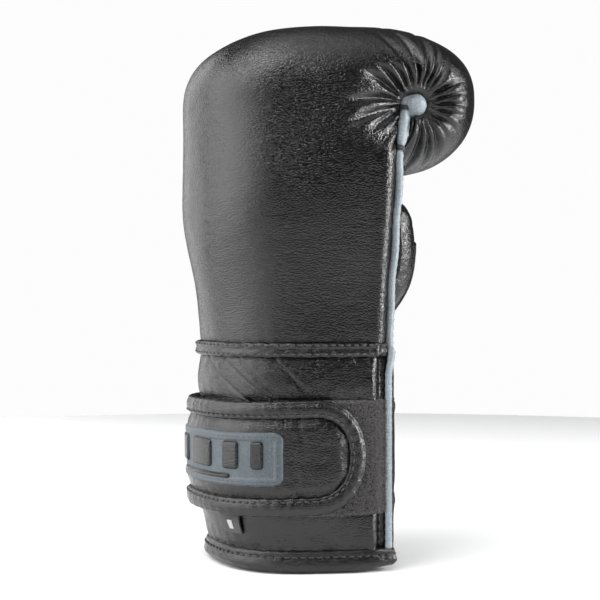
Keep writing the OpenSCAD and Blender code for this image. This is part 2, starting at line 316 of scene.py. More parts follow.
def leather(name, dark, light, rough=0.36, grain=1.0, crease=1.0, stretch=(1, 1, 1.45), size=420.0):
    """Glossy leather: cells of grain, fine wrinkles lying across, and a little unevenness in shine."""
    mat, nt, bs, co = nodes_of(name)
    link = nt.links.new
    mp = add(nt, "Mapping")
    mp.inputs["Scale"].default_value = stretch
    mp.inputs["Rotation"].default_value = (0.2, 0.2, 0)
    link(co, mp.inputs["Vector"])
    warp = add(nt, "TexNoise", Scale=160.0, Detail=3.0)
    link(mp.outputs[0], warp.inputs["Vector"])
    mx = add(nt, "MixRGB", Fac=0.0035)
    mx.blend_type = "ADD"
    link(mp.outputs[0], mx.inputs[1])
    link(warp.outputs["Color"], mx.inputs[2])
    cell = add(nt, "TexVoronoi", Scale=size)
    cell.feature = "DISTANCE_TO_EDGE"
    link(mx.outputs[0], cell.inputs["Vector"])
    ramp = add(nt, "MapRange")
    ramp.inputs["From Max"].default_value = 0.22
    link(cell.outputs["Distance"], ramp.inputs["Value"])
    fine = add(nt, "TexNoise", Scale=1400.0, Detail=5.0, Roughness=0.6)
    link(mp.outputs[0], fine.inputs["Vector"])
    broad = add(nt, "TexNoise", Scale=150.0, Detail=5.0, Roughness=0.6, Distortion=0.25)
    link(mp.outputs[0], broad.inputs["Vector"])
    lie = add(nt, "Mapping")
    lie.inputs["Scale"].default_value = (1, 1, 2.4)
    lie.inputs["Rotation"].default_value = (0.12, 0.1, 0)
    link(co, lie.inputs["Vector"])
    wrinkle = add(nt, "TexNoise", Scale=430.0, Detail=3.0, Roughness=0.55, Distortion=0.3)
    link(lie.outputs[0], wrinkle.inputs["Vector"])
    h = math_node(nt, "MULTIPLY", ramp.outputs[0], 0.5 * grain)
    h = math_node(nt, "ADD", h, math_node(nt, "MULTIPLY", wrinkle.outputs["Fac"], 0.95 * crease))
    h = math_node(nt, "ADD", h, math_node(nt, "MULTIPLY", fine.outputs["Fac"], 0.12 * grain))
    h = math_node(nt, "ADD", h, math_node(nt, "MULTIPLY", broad.outputs["Fac"], 0.75 * crease))
    bp = add(nt, "Bump", Strength=0.55, Distance=0.0003)
    link(h, bp.inputs["Height"])
    link(bp.outputs[0], bs.inputs["Normal"])
    col = add(nt, "MixRGB")
    col.inputs[1].default_value = (*dark, 1)
    col.inputs[2].default_value = (*light, 1)
    tone = add(nt, "TexNoise", Scale=300.0, Detail=4.0)
    link(co, tone.inputs["Vector"])
    shade = math_node(nt, "MULTIPLY", tone.outputs["Fac"], ramp.outputs[0])
    link(shade, col.inputs[0])
    link(col.outputs[0], bs.inputs["Base Color"])
    rg = add(nt, "MapRange")
    rg.inputs["To Min"].default_value = rough - 0.03
    rg.inputs["To Max"].default_value = rough + 0.05
    link(broad.outputs["Fac"], rg.inputs["Value"])
    link(rg.outputs[0], bs.inputs["Roughness"])
    return mat


def cloth(name, dark, light, scale=900.0, rough=0.9, sheen=0.3, depth=0.0005, strength=0.7, wave=None):
    mat, nt, bs, co = nodes_of(name)
    link = nt.links.new
    if wave:
        tex = add(nt, "TexWave", Scale=wave[0], Distortion=0.5, Detail=1.0)
        tex.bands_direction = wave[1]
        fac = tex.outputs["Fac"]
    else:
        tex = add(nt, "TexNoise", Scale=scale, Detail=6.0, Roughness=0.7)
        fac = tex.outputs["Fac"]
    link(co, tex.inputs["Vector"])
    col = add(nt, "MixRGB")
    col.inputs[1].default_value = (*dark, 1)
    col.inputs[2].default_value = (*light, 1)
    link(fac, col.inputs[0])
    link(col.outputs[0], bs.inputs["Base Color"])
    bp = add(nt, "Bump", Strength=strength, Distance=depth)
    link(fac, bp.inputs["Height"])
    link(bp.outputs[0], bs.inputs["Normal"])
    bs.inputs["Roughness"].default_value = rough
    bs.inputs["Sheen Weight"].default_value = sheen
    return mat


BLACK = leather("black_leather", (0.0024, 0.0021, 0.0022), (0.0070, 0.0063, 0.0066), rough=0.2, size=600.0)
BLACK_TRIM = leather("black_trim_leather", (0.0035, 0.0031, 0.0033), (0.0105, 0.0097, 0.010), rough=0.22,
    grain=0.9, crease=0.6, size=640.0)
BLUE = leather("blue_grey_leather", (0.20, 0.235, 0.26), (0.34, 0.385, 0.415), rough=0.42, crease=0.9,
    size=560.0)
BADGE = leather("badge_leather", (0.045, 0.060, 0.070), (0.10, 0.122, 0.14), rough=0.45, crease=0.3,
    size=800.0)
FOAM = cloth("layered_foam", (0.50, 0.48, 0.42), (0.66, 0.63, 0.56), scale=500.0, rough=0.95, sheen=0.0)
LINING = cloth("lining_cloth", (0.012, 0.013, 0.015), (0.035, 0.037, 0.042), wave=(700.0, "DIAGONAL"))
ELASTIC = cloth("ribbed_elastic", (0.010, 0.010, 0.011), (0.035, 0.034, 0.036), wave=(330.0, "Z"), rough=0.8)
PILE = cloth("loop_pile", (0.006, 0.0055, 0.006), (0.060, 0.056, 0.058), scale=1500.0, rough=1.0,
    sheen=0.25, depth=0.001, strength=1.0)
TUFT = cloth("pile_loops", (0.012, 0.011, 0.012), (0.20, 0.19, 0.195), scale=700.0, rough=0.5, sheen=0.1)
HOOK = cloth("hook_tape", (0.008, 0.008, 0.009), (0.03, 0.03, 0.032), scale=1900.0, rough=0.6, sheen=0.0,
    depth=0.0009, strength=1.0)
TAG = cloth("woven_tag", (0.010, 0.010, 0.011), (0.022, 0.022, 0.024), wave=(1500.0, "Z"), rough=0.8)
WHITE = cloth("white_weave", (0.55, 0.55, 0.53), (0.75, 0.75, 0.73), wave=(1500.0, "X"), rough=0.8)
THREAD = cloth("black_thread", (0.010, 0.010, 0.011), (0.05, 0.05, 0.052), scale=2500.0, rough=0.42,
    sheen=0.0)

# ---- sizes, as in the part's source (mm)
glove_h, hand_half_w, hand_depth, front_reach, pad_t = 264.0, 62.0, 81.0, 57.0, 24.0
cuff_w, cuff_d, cuff_h, cuff_pad, slit_w, bulge = 52.0, 73.0, 105.0, 9.0, 14.0, 3.2
# bulge: the soft palm side lies flatter than in the frame
strap_h, strap_z, strap_t, bind_w, tip_back = 53.0, 28.5, 5.0, 8.0, 16.0
strap_in = 1.7
strap_out = strap_in + strap_t
PX = (cuff_d + strap_out + 0.6 - front_reach) / 2
crown_h, roll_r, roll_drop, front_pad = 39.0, 42.0, 35.0, 17.0
roll_x, roll_z = PX + 11, glove_h - crown_h
bend_z = roll_z - 34
bar_r, bar_w = 7.2, 46.0
eye_r = bar_r - 1.8           # leather gathers in over the bar's ends
rim_h = 11.0
EYE_X, EYE_Z = roll_x + 1.8, roll_z - 3.0   # the gathered eye sits a little low in the roll
BAR_TIP = 57.0              # the grip bar's domed ends fill the gathered eyes of the roll
EXP = 2.5


# ---- the hand's sections
def lean(z):
    """How far the palm's edge has gone from the flat panel, 0, to the gathered eye, 1."""
    return smooth((z - bend_z) / (roll_z - bend_z))


def half_width(z):
    return mix(cuff_w, hand_half_w, smooth((z - cuff_h) / 95))


def sections(count):
    """Rows of profile x, z, gather x, z, half width, edge half width, draw share, opening, padding."""
    z = np.linspace(cuff_h, roll_z, 140)
    w = half_width(z)
    d = mix(cuff_d, hand_depth, smooth((z - cuff_h) / 75))
    L = lean(z)
    hand = np.stack([PX - d, z, mix(PX, roll_x, L), z, w, mix(w - 4, bar_w, L), mix(0.16, 0.5, L),
        mix(0.01, eye_r, L), np.full_like(z, pad_t)], 1)
    a = np.radians(np.linspace(180, 0, 200))[1:]
    cx, cr = PX + (front_reach - hand_depth) / 2, (front_reach + hand_depth) / 2
    one = np.ones_like(a)
    crown = np.stack([cx + cr * spow(np.cos(a), 0.77), roll_z + crown_h * spow(np.sin(a), 0.77),
                      roll_x * one, roll_z * one, hand_half_w * one, bar_w * one, 0.5 * one, eye_r * one,
                      mix(front_pad, pad_t, smooth(-np.cos(a)))], 1)
    a = np.radians(np.linspace(0, -90, 90))[1:]
    one = np.ones_like(a)
    front = PX + front_reach - roll_r + roll_r * spow(np.cos(a), 0.9)
    roll = np.stack([front, roll_z + roll_drop * spow(np.sin(a), 0.9), roll_x * one, roll_z * one,
                     hand_half_w - 3 * smooth(-a / (np.pi / 2)), bar_w * one, 0.5 * one, eye_r * one,
                     front_pad * one], 1)
    x = np.linspace(roll[-1, 0], PX + 5, 12)[1:]
    end = np.repeat(roll[-1:], len(x), 0)
    end[:, 0] = x
    rows = np.concatenate([hand, crown, roll, end])
    high = smooth((rows[:, 1] - 150) / 70)
    rows[:, 1] += 0.05 * (rows[:, 0] - PX + 10) * high       # the crown rises a little towards the front
    rows[:, 0] += 2.2 * smooth((rows[:, 0] - PX - 10) / 40)
    share = lean(rows[:, 3])
    rows[:, 2] += (EYE_X - roll_x) * share
    rows[:, 3] += (EYE_Z - roll_z) * share
    d = np.r_[0, np.cumsum(np.hypot(*np.diff(rows[:, :2], axis=0).T))]
    t = np.linspace(0, d[-1], count)
    return np.stack([np.interp(t, d, rows[:, k]) for k in range(9)], 1)


def hand_grid(sec, depth, side, open_r, m):
    """Half outlines of every section at a depth, and the share of the way from gather to profile."""
    P, F = [], []
    for i, s in enumerate(sec):
        arm = np.array([s[0] - s[2], s[1] - s[3]])
        r = np.hypot(*arm)
        dep, sid = (x[i] if np.ndim(x) else x for x in (depth, side))
        rest = open_r + s[7]
        v0 = math.asin(min(1, rest / (r - dep)) ** (EXP / 2))
        v = np.linspace(v0, np.pi - v0, 5 * m)
        f = (1 - dep / r) * spow(np.sin(v), 2 / EXP)
        draw = max(0, 1 - sid / 40) * np.maximum(0, 1 - f / s[6]) ** 2
        y = -(s[4] - sid) * spow(np.cos(v), 2 / EXP) + np.sign(np.cos(v)) * (s[4] - s[5]) * draw
        line = np.stack([s[2] + arm[0] * f, y, s[3] + arm[1] * f], 1)
        line, f = even(line, m, f)
        P.append(line)
        F.append(f)
    return np.array(P), np.array(F)


def pleats(P, f, seed):
    """Gathering creases that run out from the grip bar's end on both sides, as a height along the normal."""
    r = np.random.default_rng(seed)
    dx, dz = P[..., 0] - EYE_X, P[..., 2] - EYE_Z
    rho = np.hypot(dx, dz)
    phi = np.degrees(np.arctan2(dz, dx))
    out = np.zeros(rho.shape)
    for side in (-1, 1):
        count = 22
        angles = np.linspace(-88, 236, count) + r.uniform(-3.5, 3.5, count)
        for b, a0 in enumerate(angles):
            length = r.uniform(26, 42) * (1.25 if 60 < a0 < 215 else 0.9)
            amp = r.uniform(2.8, 4.2)
            bend = r.uniform(-0.35, 0.35)
            d = (phi - a0 - bend * (rho - 15) + 180) % 360 - 180
            dist = np.abs(np.radians(d)) * rho
            env = smooth((rho - 7) / 5) * (1 - smooth((rho - 0.3 * length) / (0.7 * length)))
            here = (np.sign(P[..., 1]) == side) * smooth((np.abs(P[..., 1]) - 16) / 14)
            out -= here * amp * env * np.exp(-((dist / (0.9 + 0.03 * rho)) ** 1.25))
            out += here * 0.7 * env * np.exp(-(((dist - 3.0) / 2.0) ** 2))
    return out


def puckers(along, away, pitch, reach, amp, seed):
    """Small folds at right angles to a seam: along and away are distances in mm."""
    q = np.stack([along, np.zeros_like(along), np.zeros_like(along)], -1)
    wob = noise(q, pitch * 2.3, seed) * 2.2
    return (amp * np.sin(2 * np.pi * along / pitch + wob) * (0.6 + 0.4 * noise(q, pitch * 3.1, seed + 1))
        * np.exp(-np.abs(away) / reach))


N, M = int(470 * HI), int(230 * HI)
sec = sections(N)
P, f = hand_grid(sec, 0, 0, 0, M)
coarse = sections(62)
C, _ = hand_grid(coarse, 0, 0, 0, 48)
pin = np.zeros(C.shape[:2])
pin[:2] = pin[-2:] = 1
pin[:, :2] = pin[:, -2:] = 1
body_delta = finer(settle(C, pin, grow=0.025, cap=1.0), N, M)
nrm = grid_normals(P)
if (nrm[:, M // 2] * (P[:, M // 2] - np.array([roll_x, 0, 0]) * [1, 1, 0]))[:60, 0].mean() < 0:
    nrm = -nrm
away_seam = P[..., 2] - cuff_h + np.where(np.arange(N)[:, None] > N * 0.45, 400, 0)
along_seam = (np.cumsum(np.linalg.norm(np.diff(P[:1], axis=1, prepend=P[:1, :1]), axis=-1), axis=1)
    + np.zeros((N, 1)))
edge_away = (np.minimum(np.arange(M)[None, :], M - 1 - np.arange(M)[None, :])
    * (np.linalg.norm(np.diff(P, axis=1), axis=-1).sum(1, keepdims=True) / M))
along_edge = np.arange(N)[:, None] * (410.0 / N) + np.zeros((1, M))
height = pleats(P, f, 5)
height += 0.55 * noise(P, 38, 3) + 0.16 * noise(P, 17, 4) + 0.07 * noise(P, (9, 9, 5), 8)
height += -1.5 * np.exp(-away_seam / 3.5) + puckers(along_seam, away_seam, 8.0, 7.0, 0.3, 21)
height += puckers(along_edge, edge_away, 9.0, 4.0, 0.28, 31) * (P[..., 2] < roll_z - 20)
height += ((1.5 * bump(edge_away, 7.5, 4.6) - 0.9 * np.exp(-edge_away / 2.2)) * (P[..., 2] < roll_z - 12)
    * (np.arange(N)[:, None] < N * 0.45))
fade = smooth(away_seam / 3.0)[..., None]
skin = P + nrm * height[..., None] + body_delta * fade * smooth(edge_away / 6)[..., None]
under = P + nrm * (np.minimum(height, 0) - 1.7)[..., None]
body = slab("back_leather_shell", skin, under, BLACK)
place(body, "black_leather", "glove", "back_leather", fill=0.85)

# foam layers and lining, hidden inside
for name, a, b, e0, e1, open_r, mat, node, sl in (
        ("outer_foam_layer", 0, 0.45, 5.2, 0.4, 5.5, FOAM, "outer_foam", "foam"),
        ("inner_foam_layer", 0.45, 0.92, 1.0, 0, 6.0, FOAM, "inner_foam", "foam"),
        ("hand_lining_cloth", 0.92, 0.92, 0.3, 1.3, 4.5, LINING, "hand_lining", "lining_fabric")):
    s2 = sections(int(120 * HI))
    pad = s2[:, 8]
    o, _ = hand_grid(s2, a * pad + e0, 0.62 * a * pad + e0 * 0.9, open_r, 61)
    u, _ = hand_grid(s2, b * pad + e1, 0.62 * b * pad + e1, open_r, 61)
    ob = slab(name, o, u, mat)
    place(ob, sl, "glove", node, fill=float(mat == FOAM))

# the roll's closing panel
s = sections(400)[-1:]
line, _ = hand_grid(s, 0, 0, 1.2, int(150 * HI))
line = line[0]
arm = np.array([s[0, 0] - s[0, 2], 0, s[0, 1] - s[0, 3]])
across = np.array([arm[2], 0, -arm[0]]) / np.linalg.norm(arm)
gather = np.stack([np.full(len(line), line[0, 0]), np.linspace(line[0, 1], line[-1, 1], len(line)),
    np.full(len(line), line[0, 2])], 1)
k = np.linspace(0, 1, 26)[:, None, None]
sheet = mix(line * [1, 0.985, 1], gather * [1, 0.93, 1], k)
puff = np.sin(np.pi * k[..., 0]) ** 0.8 * (1 - np.abs(np.linspace(-1, 1, len(line)))[None, :] ** 6)
sheet = sheet + across * (1.4 + 1.3 * puff + 0.3 * noise(sheet, (8, 5, 8), 12))[..., None]
panel = slab("roll_closing_panel", sheet, sheet - across * 1.4, BLACK)
place(panel, "black_leather", "glove", "roll_end_panel")


# ---- palm
def palm_grid(nz, ny, inset, back):
    z = np.linspace(cuff_h + 1, roll_z - 8, nz)[:, None]
    L = lean(z)
    w = half_width(z)
    e = mix(w - 6, bar_w - 3, L) - inset
    u = np.linspace(-1, 1, ny)[None, :]
    x = PX + 5.2 * L - back
    return np.stack([x + 0 * u, e * u, z + 0 * u], -1), u + 0 * z, z + 0 * u


G, u, z = palm_grid(int(150 * HI), int(110 * HI), 0, 0)
quilt = 2.6 * (1 - np.abs(u) ** 3) * np.sin(np.pi * np.clip((z - cuff_h) / (roll_z - cuff_h), 0, 1)) ** 0.6
quilt += 0.35 * noise(G, (10, 12, 7), 15) + 0.2 * noise(G, (5, 9, 4), 16) - 0.6 * bump(u, 0, 0.03)
top = G + np.array([1.0, 0, 0]) * (quilt - 0.5 * np.abs(u) ** 8)[..., None]
palm = slab("palm_leather_panel", top[:, ::-1], (G - np.array([1.6, 0, 0]))[:, ::-1], BLUE)
place(palm, "blue_grey_leather", "glove", "palm_leather", fill=0.5)
front = np.array([1.0, 0, 0])
lift = 0.35 * front
last_row, last_col = G.shape[0] - 1, G.shape[1] - 1
for k, share in enumerate((0.03, 0.97)):
    line = top[int(share * last_row)]
    thread_row(f"palm_end_stitching_{k + 1}", line + lift, line * 0 + front, "glove", 2.2, 1.3, 0.36)
for k, share in enumerate((0.04, 0.96)):
    line = top[:, int(share * last_col)]
    thread_row(f"palm_edge_stitching_{k + 1}", line + lift, line * 0 + front, "glove", 2.2, 1.3, 0.36)
G, u, z = palm_grid(40, 30, 1.0, 1.9)
pl = slab("palm_lining_cloth", G[:, ::-1], (G - np.array([0.9, 0, 0]))[:, ::-1], LINING)
place(pl, "lining_fabric", "glove", "palm_lining")

# grip bar with its domed leather ends
ang = np.linspace(0, 2 * np.pi, 40, endpoint=False)
dome = np.linspace(0.1, np.pi / 2, 14)
ys = np.concatenate([-BAR_TIP + 6 * (1 - np.cos(dome)), np.linspace(-BAR_TIP + 7, BAR_TIP - 7, 30), BAR_TIP
    - 6 * (1 - np.cos(dome))[::-1]])
rings = []
for y in ys:
    over = max(0, abs(y) - (BAR_TIP - 6))
    r = math.sqrt(max(0.01, 1 - (over / 6.05) ** 2)) * mix(bar_r + 0.3, eye_r, smooth(over / 2))
    wr = r * (1 + 0.012 * np.sin(9 * ang + 0.3 * y))
    rings.append(np.stack([EYE_X + wr * np.cos(ang), np.full(40, y), EYE_Z + wr * np.sin(ang)], 1))
bar = loft("grip_bar_leather", np.array(rings)[::-1], BLUE)
place(bar, "blue_grey_leather", "glove", "grip_bar_cover", fill=1.0)


# ---- cuff
# its coordinates: s from the little finger edge, height z, n outwards
ang = np.radians(np.linspace(-95, 340, 9000))
ox = PX - np.where(np.sin(ang) >= 0, cuff_d, bulge) * spow(np.sin(ang), 2 / EXP)
oy = -cuff_w * spow(np.cos(ang), 2 / EXP)
tx, ty = np.gradient(ox), np.gradient(oy)
tl = np.hypot(tx, ty)
ds = np.r_[0, np.cumsum(np.hypot(np.diff(ox), np.diff(oy)))]
s_axis = ds - np.interp(0, ang, ds)
nx_, ny_ = ty / tl, -tx / tl
if nx_[np.argmin(np.abs(ang - np.pi / 2))] > 0:
    nx_, ny_ = -nx_, -ny_
kern = np.ones(161) / 161
s_even = np.linspace(s_axis[0], s_axis[-1], 12000)
tab = [np.interp(s_even, s_axis, q) for q in (ox, oy, nx_, ny_)]
tab[2:] = [np.convolve(np.pad(q, 80, "edge"), kern, "valid") for q in tab[2:]]


S0, S180 = (float(np.interp(v, ang, s_axis)) for v in (0, np.pi))


def s_at(a):
    return float(np.interp(math.radians(a), ang, s_axis))


def wrap(s, z, n):
    """Cuff coordinates to space. Below the strap the back of the cuff draws in."""
    n = n - 3.8 * (1 - smooth((z - 14) / 18)) * smooth((s - S0 - 8) / 30) * smooth((S180 - s - 8) / 30)
    x, y, a, b = (np.interp(s, s_even, q) for q in tab)
    l = np.hypot(a, b)
    return np.stack(np.broadcast_arrays(x + n * a / l, y + n * b / l, z), -1)


def out_of(s):
    a, b = (np.interp(s, s_even, q) for q in tab[2:])
    l = np.hypot(a, b)
    return np.stack(np.broadcast_arrays(a / l, b / l, 0 * a), -1)


def shell(name, s, z, outer, inner, mat):
    """A closed solid on the cuff, between two distances outwards."""
    return slab(name, wrap(s, z, outer), wrap(s, z, inner), mat)


def edge_distance(s):
    return np.minimum(s - S0, S180 - s)


def cuff_profile(s, z):
    d = edge_distance(s)
    n = mix(-1.9, 0, smooth((d - 5.6) / 3.6)) + 1.2 * bump(d, 11.0, 2.8)
    upper = smooth((z - 80) / 4)
    n = n + upper * 1.1 * np.sin(np.pi * np.clip((z - 79) / 22, 0, 1)) * smooth((d - 8) / 5)
    n = (n + (1 - smooth((z - 30) / 3)) * 0.9 * np.sin(np.pi * np.clip((z - 10) / 19, 0, 1))
        * smooth((d - 8) / 5))
    n = n - 1.1 * bump(z, cuff_h, 3.0) - 0.8 * bump(z, rim_h, 2.5)
    return n


def cuff_sheet(name, s0, s1, z0, z1, prof, thick, mat, ns=260, nz=90, wr=1.0):
    s = np.linspace(s0, s1, int(ns * HI))[:, None]
    z = np.linspace(z0, z1, int(nz * HI))[None, :]
    n = prof(s, z) + 0 * s * z
    B = wrap(s, z, n)
    n = n + wr * (0.25 * noise(B, (13, 13, 7), 41) + 0.14 * noise(B, (6, 6, 3), 42))
    return shell(name, s, z, n, np.minimum(n, prof(s, z)) - thick, mat)


def diagonal(s, z):
    """A few slack diagonal creases on the upper cuff."""
    out = 0
    for c, slope, w in ((s_at(60), 1.4, 1.6), (s_at(52), 1.1, 1.4), (s_at(75), 1.6, 1.7),
            (s_at(118), -1.2, 1.5), (s_at(35), 0.9, 1.2)):
        out = out - 0.7 * bump(s - c - slope * (z - 90), 0, w) * bump(z, 91, 9)
    return out


def pucker_cuff(s, z):
    return (puckers(s, cuff_h - z, 7.5, 5.0, 0.45, 51) + puckers(s, z - 82, 9.0, 4.0, 0.3, 52) * (z > 80)
            + puckers(s, z - rim_h, 8.0, 5.0, 0.35, 53))


cuff = cuff_sheet("cuff_leather_shell", S0 + 0.6, S180 - 0.6, rim_h - 1.5, cuff_h + 0.6, lambda s,
    z: cuff_profile(s, z) + diagonal(s, z) + pucker_cuff(s, z),
                  1.5, BLACK, 420, 150)
place(cuff, "black_leather", "glove", "cuff_leather", fill=0.7)
for name, n0, n1, node, mat, sl in (("cuff_foam_pad", -5.6, -1.8 - cuff_pad, "cuff_foam", FOAM, "foam"),
                                    ("cuff_lining_cloth", -2.0 - cuff_pad, -3.0 - cuff_pad, "cuff_lining",
                                    LINING, "lining_fabric")):
    s = np.linspace(s_at(12), s_at(168), 120)[:, None]
    z = np.linspace(rim_h + 1, cuff_h + 1, 24)[None, :]
    ob = shell(name, s, z, n0, n1, mat)
    place(ob, sl, "glove", node, fill=float(mat == FOAM))
slit_a = math.degrees(math.asin((slit_w / 2 / cuff_w) ** (EXP / 2)))
for name, s0, s1, node in (("cuff_palm_flap_little_finger", s_at(-90 + slit_a), s_at(-1.5),
        "cuff_palm_little_side"),
                           ("cuff_palm_flap_thumb", s_at(181.5), s_at(270 - slit_a), "cuff_palm_thumb_side")):
    ob = cuff_sheet(name, s0, s1, rim_h - 1, cuff_h, lambda s,
        z: 0.6 * np.sin(np.pi * np.clip((z - 10) / 92, 0, 1)) + 0 * s, 2.6, BLACK, 90, 90, 0.8)
    place(ob, "black_leather", "glove", node, fill=0.4)


def ribbon(name, a0, a1, cut, mat, count=300):
    """A closed outline cut(s) of (distance out, height) carried round the cuff."""
    s = np.linspace(s_at(a0), s_at(a1), int(count * HI))
    rings = []
    for v in s:
        c = cut(v)
        rings.append(wrap(np.full(len(c), v), c[:, 1], c[:, 0]))
    return loft(name, rings, mat)


def band_cut(s):
    o = outline(1.35, 3.3, 3.0, 40)
    n = 0.9 + o[:, 0] - 0.9 * bump(o[:, 1], 0.5, 0.55) * (o[:, 0] > 0)
    d = float(edge_distance(s))
    n = n - 2.0 * (1 - smooth((d - 5) / 4))
    w = 0.25 * math.sin(s * 0.9) + 0.2 * math.sin(s * 0.37 + 1)
    return np.stack([n + 0.1 * np.sin(o[:, 1] * 2 + s * 0.8), cuff_h + o[:, 1] + w * 0.4], 1)


band = ribbon("cuff_seam_band_fold", 1.2, 178.8, band_cut, BLACK_TRIM, 360)
place(band, "black_leather", "glove", "cuff_seam_band")


def rim_cut(s):
    th = np.linspace(0, 2 * np.pi, 44, endpoint=False)
    n = -2.9 + 4.3 * spow(np.cos(th), 0.62)
    z = 5.6 + 5.6 * spow(np.sin(th), 0.7)
    n = n + 0.45 * bump(z, 3.6, 2.0) * (np.cos(th) > 0) - 0.5 * bump(z, 8.0, 0.8) * (np.cos(th) > 0)
    n = n + 0.12 * np.sin(s * 0.7) * np.sin(z)
    lift = 2.2 * bump(s, S0, 14) + 2.2 * bump(s, S180, 14) + 1.5 * bump(s, (S0 + S180) / 2, 40)
    z = z + lift * (1 - smooth(z / 8))
    return np.stack([n, z], 1)


rim = ribbon("cuff_rim_binding_roll", -90 + slit_a, 270 - slit_a, rim_cut, BLACK_TRIM, 420)
place(rim, "black_leather", "glove", "cuff_rim_binding", fill=1.0)

# slit: rolled edge tapes and the elastic behind it
for i, side in enumerate((1, -1)):
    y = side * (slit_w / 2 - 1.1)
    zz = np.linspace(rim_h - 1, cuff_h + 2, 80)
    x = PX + bulge - 1.1 + 0.15 * np.sin(zz * 0.4)
    path = np.stack([x, y + 0 * zz + 0.12 * np.sin(zz * 0.7), zz], 1)
    ob = sweep("slit_edge_tape_" + ("thumb", "little_finger")[i], path,
        lambda u: outline(2.0, 1.2, 2.4, 20), BLUE, up=(0, 1, 0))
    if i == 0:
        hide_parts("slit_edge_tapes")
    place(ob, "blue_grey_leather", "glove")
s = np.linspace(s_at(252), s_at(288), 90)[:, None]
z = np.linspace(rim_h, cuff_h - 1, 80)[None, :]
el = shell("slit_elastic_gusset", s, z, -3.4 + 0.25 * np.sin(s * 3.2), -4.6 + 0 * s, ELASTIC)
place(el, "elastic", "glove", "slit_elastic")

# loop field on the little finger side
S_TIP_PILE = s_at(30)
s = np.linspace(S0 + 1.0, s_at(46), int(150 * HI))[:, None]
z = np.linspace(strap_z - 1, strap_z + strap_h, int(150 * HI))[None, :]
edge = smooth(np.minimum(z - strap_z + 1, strap_z + strap_h - z) / 2.0) * smooth((s - S0 - 1.0) / 1.5)
base_n = mix(-2.0, 0.2, smooth((s - S0 - 4) / 6)) + 0 * z
B = wrap(s, z, base_n)
nn = base_n + 0.5 + 0.75 * edge + 0.16 * noise(B, 1.4, 61) + 0.1 * noise(B, 0.8, 62)
loop = shell("loop_pile_field", s, z, nn, base_n - 0.3, PILE)
place(loop, "loop_pile", "glove", "loop_field")

# the pile's small loops
r = np.random.default_rng(77)
ts_, tz_ = r.uniform(S0 + 1.6, S_TIP_PILE, TUFTS), r.uniform(strap_z - 0.6, strap_z + strap_h - 0.4, TUFTS)
verts, faces = [], []
bn = mix(-2.0, 0.2, smooth((ts_ - S0 - 4) / 6))
c0 = wrap(ts_, tz_, bn + 1.0)
o0 = out_of(ts_)
for c_, o_ in zip(c0, o0):
    d_ = r.normal(size=3)
    d_ -= o_ * (d_ @ o_)
    d_ /= np.linalg.norm(d_)
    w_ = np.cross(d_, o_)
    hgt, wid, th_ = r.uniform(0.5, 1.15), r.uniform(0.3, 0.6), 0.14
    base = len(verts)
    for a_ in np.linspace(0, np.pi, 5):
        q_ = c_ + d_ * wid * math.cos(a_) + o_ * hgt * math.sin(a_)
        n_ = d_ * math.cos(a_) + o_ * math.sin(a_)
        verts += [q_ + w_ * th_, q_ + n_ * th_, q_ - w_ * th_, q_ - n_ * th_]
    faces += (grid_faces(5, 4, True, base)
        + [[base + 3, base + 2, base + 1, base], [base + 16, base + 17, base + 18, base + 19]])
tufts = build("loop_pile_tufts", verts, faces, TUFT)
place(tufts, "loop_pile", "glove")

# ---- strap
mid_z = strap_z + strap_h / 2
half = strap_h / 2
a_tip = np.interp(PX - tip_back, ox[(ang > 0.02) & (ang < 1.3)][::-1], ang[(ang > 0.02) & (ang < 1.3)][::-1])
S_TIP = float(np.interp(a_tip, ang, s_axis))
CREASE = {k: s_at(a) for k, a in dict(tip=38, back=134, side=202, palm=318).items()}
CUTS = [S_TIP, s_at(92), s_at(168), s_at(258), s_at(329)]


def rise(s):
    return 0.8 - 1.6 * smooth((s - S_TIP) / 70) + 0.8 * smooth((s - s_at(130)) / 60)


def thin(s):
    """The strap runs thinner over the palm side, where it has no padding."""
    return 1 - 0.58 * smooth((s - s_at(172)) / 22)


def strap_half(s, inset):
    """Half height of the strap at s, drawn in by inset; its tip is a rounded D."""
    r = 25.0 - inset
    d = np.clip((s - S_TIP - inset) / r, 0, 1)
    return (half - inset) * np.maximum(1e-3, 1 - (1 - d) ** 2.35) ** (1 / 2.1)


def edge_runs(s0, s1, ins, tip, steps, tip_count, count):
    """Lines (s, z) along the strap's edges, drawn in by ins: one round the tip, or one on each side."""
    if tip:
        sa = s0 + ins + (s1 - s0 - ins) * np.linspace(0, 1, steps) ** 2.0
        ha = strap_half(sa, ins)
        up = np.stack([sa, mid_z + rise(sa) + ha], 1)
        lo = np.stack([sa, mid_z + rise(sa) - ha], 1)[::-1]
        return [even(np.concatenate([lo[:-1], up]), tip_count)]
    sa = np.linspace(s0, s1, count)
    return [np.stack([sa, mid_z + rise(sa) + sg * (half - ins)], 1) for sg in (-1, 1)]


